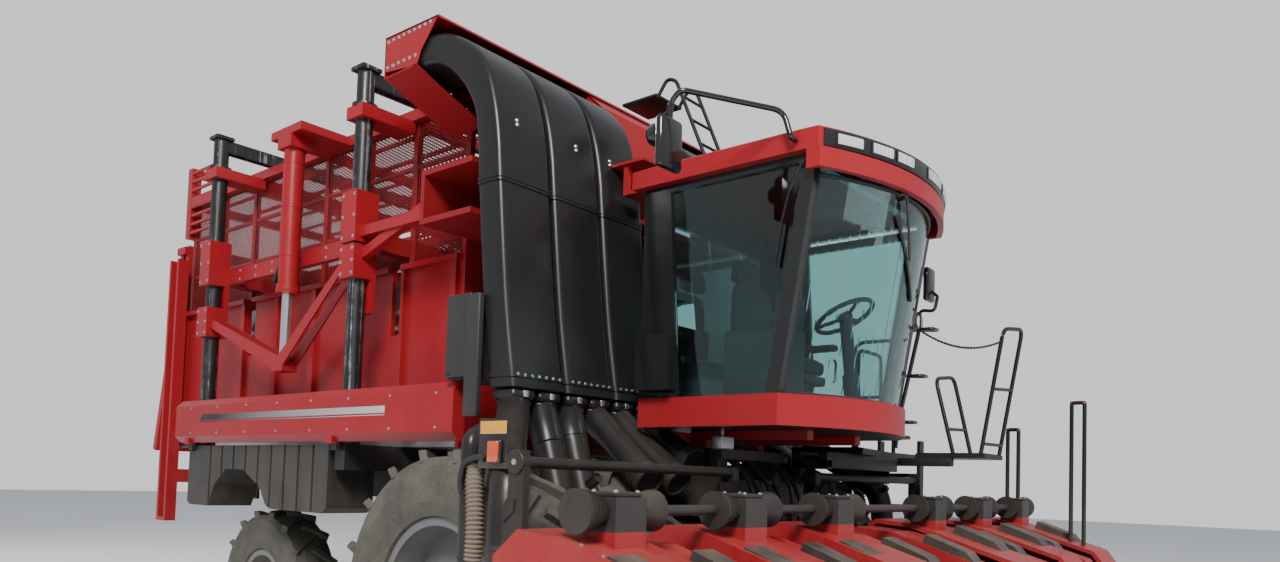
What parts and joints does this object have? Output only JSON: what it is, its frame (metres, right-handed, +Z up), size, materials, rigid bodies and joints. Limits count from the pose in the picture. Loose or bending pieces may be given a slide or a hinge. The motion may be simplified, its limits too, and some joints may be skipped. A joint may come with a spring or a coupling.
{
  "type": "cotton harvester",
  "caption": "Self-propelled cotton harvester with row units in front, air ducts, a cab and a raised chamber with a press that packs cotton into a module.",
  "frame": {"origin": "on the ground under the middle of the machine's length and width", "axes": "+X forward, +Y the machine's left, +Z up"},
  "size_m": [10.2, 5.825, 5.08],
  "materials": {
    "red_paint": "gloss",
    "frame_black": "satin",
    "cast_grey": "matt",
    "black_moulding": "satin",
    "worn_steel": "worn",
    "post_black": "worn to bare steel in strips",
    "duct_black": "satin",
    "cab_black": "gloss",
    "tinted_glass": "tinted",
    "cab_trim": "matt",
    "rail_black": "satin",
    "lamp_black": "gloss",
    "divider_red": "satin",
    "tyre": "dusty",
    "rim_paint": "gloss"
  },
  "bodies": {
    "chassis": {"frame_rails": "frame_black", "rear_frame": "red_paint", "front_axle": "frame_black", "rear_axle": "frame_black", "engine_block": "cast_grey", "air_boxes": "black_moulding", "chamber_floor": "worn_steel", "lower_walls": "red_paint", "upper_walls": "red_paint", "top_frame": "red_paint", "posts": "post_black", "press_cylinders": "red_paint", "side_panels": "red_paint", "tanks": "black_moulding", "ducts": "duct_black", "duct_pipes": "duct_black", "duct_hood": "red_paint", "cab_base": "red_paint", "cab_frame": "cab_black", "cab_roof": "red_paint", "cab_glass": "tinted_glass", "cab_interior": "cab_trim", "deck": "frame_black", "deck_rails": "rail_black", "mirrors": "black_moulding", "work_lamps": "lamp_black"},
    "cab_door": {"door_frame": "cab_black", "door_glass": "tinted_glass"},
    "access_ladder": {"ladder": "frame_black"},
    "press": {"press_sides": "red_paint", "press_frame": "red_paint", "press_augers": "worn_steel"},
    "inner_ramp": {"ramp_inner": "red_paint"},
    "outer_ramp": {"ramp_outer": "red_paint"},
    "header": {"toolbar": "frame_black", "row_hoods": "red_paint", "row_drums": "worn_steel", "row_dividers": "divider_red"},
    "drive_wheels_right": {"drive_tyres_right": "tyre", "drive_rims_right": "rim_paint"},
    "drive_wheels_left": {"drive_tyres_left": "tyre", "drive_rims_left": "rim_paint"},
    "knuckle_right_body": {"knuckle_right": "cast_grey"},
    "knuckle_left_body": {"knuckle_left": "cast_grey"},
    "steered_wheel_right": {"steer_tyre_right": "tyre", "steer_rim_right": "rim_paint"},
    "steered_wheel_left": {"steer_tyre_left": "tyre", "steer_rim_left": "rim_paint"}
  },
  "joints": [
    {"name": "drive_spin_right", "type": "hinge", "parent": "chassis", "child": "drive_wheels_right", "pos_m": [1.45, -1.4475, 0.975], "axis": [0, 1, 0], "continuous": true},
    {"name": "drive_spin_left", "type": "hinge", "parent": "chassis", "child": "drive_wheels_left", "pos_m": [1.45, 1.4475, 0.975], "axis": [0, 1, 0], "continuous": true},
    {"name": "steering_left", "type": "hinge", "parent": "chassis", "child": "knuckle_left_body", "pos_m": [-1.95, 0.9, 0.71], "axis": [0, 0, 1], "range_deg": [-30, 30]},
    {"name": "steering_right", "type": "hinge", "parent": "chassis", "child": "knuckle_right_body", "pos_m": [-1.95, -0.9, 0.71], "axis": [0, 0, 1], "range_deg": [-30, 30]},
    {"name": "steered_spin_left", "type": "hinge", "parent": "knuckle_left_body", "child": "steered_wheel_left", "pos_m": [-1.95, 1.29, 0.71], "axis": [0, 1, 0], "continuous": true},
    {"name": "steered_spin_right", "type": "hinge", "parent": "knuckle_right_body", "child": "steered_wheel_right", "pos_m": [-1.95, -1.29, 0.71], "axis": [0, 1, 0], "continuous": true},
    {"name": "header_lift", "type": "hinge", "parent": "chassis", "child": "header", "pos_m": [2.01, 0, 1.3], "axis": [0, -1, 0], "range_deg": [-1.5, 13]},
    {"name": "press_stroke", "type": "slide", "parent": "chassis", "child": "press", "axis": [0, 0, 1], "range_m": [-0.6, 0.12]},
    {"name": "ramp_lower", "type": "hinge", "parent": "chassis", "child": "inner_ramp", "pos_m": [-4.39, 0, 2.04], "axis": [0, -1, 0], "range_deg": [0, 115]},
    {"name": "ramp_unfold", "type": "hinge", "parent": "inner_ramp", "child": "outer_ramp", "pos_m": [-4.50296, 0, 4.18], "axis": [0, 1, 0], "range_deg": [0, 168.1]},
    {"name": "door_hinge", "type": "hinge", "parent": "chassis", "child": "cab_door", "pos_m": [2.253, 0.89, 2.2148], "axis": [-0.0609, 0, 0.9981], "range_deg": [0, 75]},
    {"name": "ladder_swing", "type": "hinge", "parent": "chassis", "child": "access_ladder", "pos_m": [2.062, 2.535, 2.1], "axis": [0, 0, 1], "range_deg": [0, 75]}
  ],
  "couplings": [
    {"joint": "steering_right", "follows": "steering_left", "ratio": 1},
    {"joint": "ramp_unfold", "follows": "ramp_lower", "ratio": 1.46}
  ]
}
